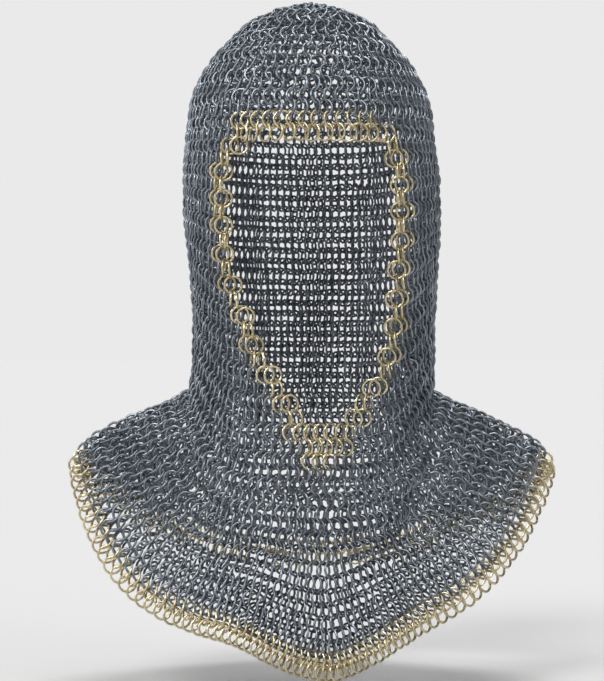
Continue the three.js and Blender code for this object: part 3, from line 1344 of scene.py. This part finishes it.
@dataclass
class FaceEdging(SubAssembly):
    """The brass rings over the brow and down both sides of the face."""

    start: float = HOOD_START
    brow_end: float = 17.5
    end: float = MANTLE_START
    front: tuple[float, float] = (-90, 90)

    def patches(self) -> tuple[Patch, ...]:
        """Lays out the strip along the brow and the two beside the face.

        Returns:
            The three panels.
        """
        brow, cheek = (self.start, self.brow_end), (self.brow_end, self.end)
        return (
            Patch("edge_forehead", Metal.BRASS, brow, self.front, "crown_band"),
            Patch("edge_face_left", Metal.BRASS, cheek, self.front, "edge_forehead", Side.LEFT),
            Patch("edge_face_right", Metal.BRASS, cheek, self.front, "edge_forehead", Side.RIGHT),
        )


@dataclass
class Hood(SubAssembly):
    """The hood's sides and back."""

    start: float = HOOD_START
    end: float = MANTLE_START
    back_half: float = BACK_HALF
    # The angle where the two sides meet under the face, in degrees
    meeting: float = math.degrees(0.1)

    def patches(self) -> tuple[Patch, ...]:
        """Lays out the two sides and the back.

        Returns:
            The three panels.
        """
        rows, back = (self.start, self.end), self.back_half
        return (
            Patch("hood_left", Metal.STEEL, rows, (-back, self.meeting), "crown_band"),
            Patch("hood_right", Metal.STEEL, rows, (self.meeting, back), "crown_band"),
            Patch("hood_back", Metal.STEEL, rows, (back, 360 - back), "crown_band"),
        )


@dataclass
class Mantle(SubAssembly):
    """The round mantle over the shoulders."""

    start: float = MANTLE_START
    throat_end: float = 48
    end: float = HEM_START
    front_half: float = FRONT_HALF
    back_half: float = BACK_HALF

    def patches(self) -> tuple[Patch, ...]:
        """Lays out the throat, the front, the two shoulders and the back.

        Returns:
            The five panels.
        """
        front, back = self.front_half, self.back_half
        rows = (self.start, self.end)
        throat, chest = (self.start, self.throat_end), (self.throat_end, self.end)
        return (
            Patch("throat_panel", Metal.STEEL, throat, (-front, front), "hood_left"),
            Patch("mantle_front", Metal.STEEL, chest, (-front, front), "throat_panel"),
            Patch("mantle_left", Metal.STEEL, rows, (-back, -front), "hood_left"),
            Patch("mantle_right", Metal.STEEL, rows, (front, back), "hood_right"),
            Patch("mantle_back", Metal.STEEL, rows, (back, 360 - back), "hood_back"),
        )


@dataclass
class Hem(SubAssembly):
    """The two brass rows round the hem."""

    start: float = HEM_START
    end: float = 57
    front_half: float = FRONT_HALF
    back_half: float = BACK_HALF

    def patches(self) -> tuple[Patch, ...]:
        """Lays out the strips at the front, the sides and the back.

        Returns:
            The four panels.
        """
        front, back = self.front_half, self.back_half
        rows = (self.start, self.end)
        return (
            Patch("hem_front", Metal.BRASS, rows, (-front, front), "mantle_front"),
            Patch("hem_left", Metal.BRASS, rows, (-back, -front), "mantle_left"),
            Patch("hem_right", Metal.BRASS, rows, (front, back), "mantle_right"),
            Patch("hem_back", Metal.BRASS, rows, (back, 360 - back), "mantle_back"),
        )


@dataclass(frozen=True)
class FloorPaint:
    """The pale paint of the studio's floor."""

    colour: Colour = (0.39, 0.39, 0.39)
    roughness: float = 1
    shine: float = 0

    def material(self) -> bpy.types.Material:
        """Makes the paint.

        Returns:
            The material.
        """
        paint = bpy.data.materials.new("pale_floor")
        paint.use_nodes = True
        kit = NodeTree(paint.node_tree)
        shader = kit.add(
            "ShaderNodeBsdfPrincipled",
            Base_Color=(*self.colour, 1), Roughness=self.roughness, Specular_IOR_Level=self.shine,
        )
        kit.add("ShaderNodeOutputMaterial", Surface=shader.outputs["BSDF"])
        return paint


@dataclass(frozen=True)
class SoftLight:
    """A distant lamp that shines from a place towards the origin, and evenly on the floor."""

    name: str
    place: Place
    # How wide the lamp looks, in degrees
    softness: float
    power: float

    def hang(self) -> None:
        """Puts the lamp in the scene."""
        data = bpy.data.lights.new(self.name, "SUN")
        data.energy = self.power
        data.angle = math.radians(self.softness)
        lamp = bpy.data.objects.new(self.name, data)
        lamp.location = self.place
        lamp.rotation_euler = (-Vector(self.place)).to_track_quat("-Z", "Y").to_euler()
        bpy.context.scene.collection.objects.link(lamp)


@dataclass
class Studio:
    """The camera, the lights, the floor and the air round them, in metres."""

    camera_place: Place = (-0.0061, -1.8, -0.224)
    # The lens and the sensor, in millimetres
    lens: float = 157.8
    sensor: float = 36
    farthest_seen: float = 200
    floor_drop: float = 0.012
    floor_reach: float = 30
    paint: FloorPaint = FloorPaint()
    # What shows behind the coif and lights it, and what its metal mirrors
    backdrop: Colour = (0.82, 0.82, 0.82)
    air: Colour = (0.05, 0.055, 0.062)
    lights: tuple[SoftLight, ...] = (
        SoftLight("key_light", (-0.9, -1.8, 1.8), 20, 2.0),
        SoftLight("fill_light", (1.7, -1.5, 1.1), 30, 0.5),
        SoftLight("top_light", (0.1, 0.2, 2.1), 30, 1.8),
        SoftLight("left_light", (-2.2, 0.3, 0.7), 25, 1.3),
        SoftLight("back_light", (0.6, 2.1, 1.1), 35, 0.8),
    )

    def place_camera(self) -> None:
        """Sets the camera where the photograph was taken from."""
        data = bpy.data.cameras.new("front_view")
        data.lens = self.lens
        data.sensor_width = self.sensor
        data.sensor_fit = "HORIZONTAL"
        data.clip_end = self.farthest_seen
        camera = bpy.data.objects.new("front_view", data)
        camera.location = self.camera_place
        camera.rotation_euler = (math.radians(90), 0, 0)
        bpy.context.scene.collection.objects.link(camera)
        bpy.context.scene.camera = camera

    def build(self) -> None:
        """Makes the floor, the air and the lights."""
        self._floor()
        self._air()
        for light in self.lights:
            light.hang()

    def _floor(self) -> None:
        """Adds a plain pale floor under the hem."""
        low = CAD_BOX[0][2] - self.floor_drop
        reach = self.floor_reach
        mesh = bpy.data.meshes.new("floor")
        corners = [(x * reach, y * reach, low) for x, y in ((-1, -1), (1, -1), (1, 1), (-1, 1))]
        mesh.from_pydata(corners, [], [(0, 1, 2, 3)])
        mesh.materials.append(self.paint.material())
        floor = bpy.data.objects.new("floor", mesh)
        bpy.context.scene.collection.objects.link(floor)

    def _air(self) -> None:
        """Fills the room with even pale light."""
        world = bpy.data.worlds.new("studio")
        world.use_nodes = True
        kit = NodeTree(world.node_tree)
        backdrop = kit.add("ShaderNodeBackground", Color=(*self.backdrop, 1))
        air = kit.add("ShaderNodeBackground", Color=(*self.air, 1))
        mirrored = kit.add("ShaderNodeLightPath").outputs["Is Glossy Ray"]
        both = kit.add("ShaderNodeMixShader", Fac=mirrored)
        kit.feed(both.inputs[1], backdrop.outputs["Background"])
        kit.feed(both.inputs[2], air.outputs["Background"])
        kit.add("ShaderNodeOutputWorld", Surface=both.outputs["Shader"])
        bpy.context.scene.world = world
        bpy.context.scene.view_settings.view_transform = "Standard"


def main() -> None:
    """Builds the coif and the studio."""
    logging.basicConfig(level=logging.INFO, format="%(name)s: %(message)s")
    studio = Studio()
    studio.place_camera()
    size = RingSize()
    rings = Weave(Drape(), size).rings()
    LOG.info("%d rings, of which %d brass", len(rings.row), int(rings.brass.sum()))
    tree = RingTree(size)
    materials = {finish.metal: finish.material() for finish in (STEEL_FINISH, BRASS_FINISH)}
    groups = {metal: tree.build(material) for metal, material in materials.items()}
    shop = MailShop(rings, tree, groups)
    left = np.full(len(rings.row), True)
    for part in (Crown(), FaceEdging(), Hood(), Mantle(), Hem()):
        pieces = part.build(shop, left)
        LOG.info("%s: %d pieces", type(part).__name__, len(pieces))
    if left.any():
        LOG.warning("%d rings are in no panel", int(left.sum()))
    studio.build()


if __name__ == "__main__":
    main()
